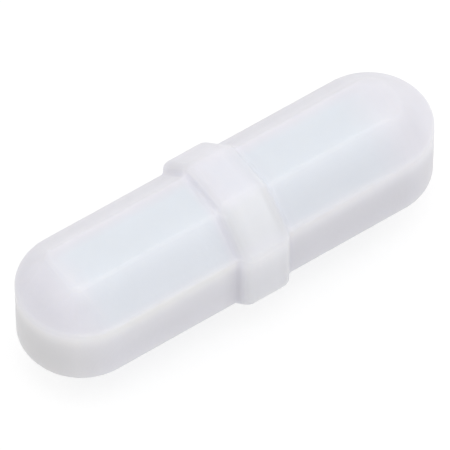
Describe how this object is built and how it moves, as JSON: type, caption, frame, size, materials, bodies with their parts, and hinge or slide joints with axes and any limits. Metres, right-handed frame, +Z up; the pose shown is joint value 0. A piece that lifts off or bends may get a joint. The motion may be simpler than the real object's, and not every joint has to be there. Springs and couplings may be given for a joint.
{
  "type": "magnetic stir bar",
  "caption": "Octagonal stir bar with rounded ends and a raised pivot ring round its middle, a rod magnet sealed in white fluoroplastic.",
  "frame": {"origin": "on the surface that the bar rests on, under the middle of the pivot ring", "axes": "+X along the bar, +Y across it, +Z up"},
  "size_m": [0.03, 0.0094, 0.0101],
  "materials": {
    "ptfe": "satin, smooth from the mould, slightly translucent",
    "alnico": "cast and ground, dull grey"
  },
  "bodies": {
    "root": {"ptfe_jacket": "ptfe", "magnet_core": "alnico"}
  },
  "joints": []
}
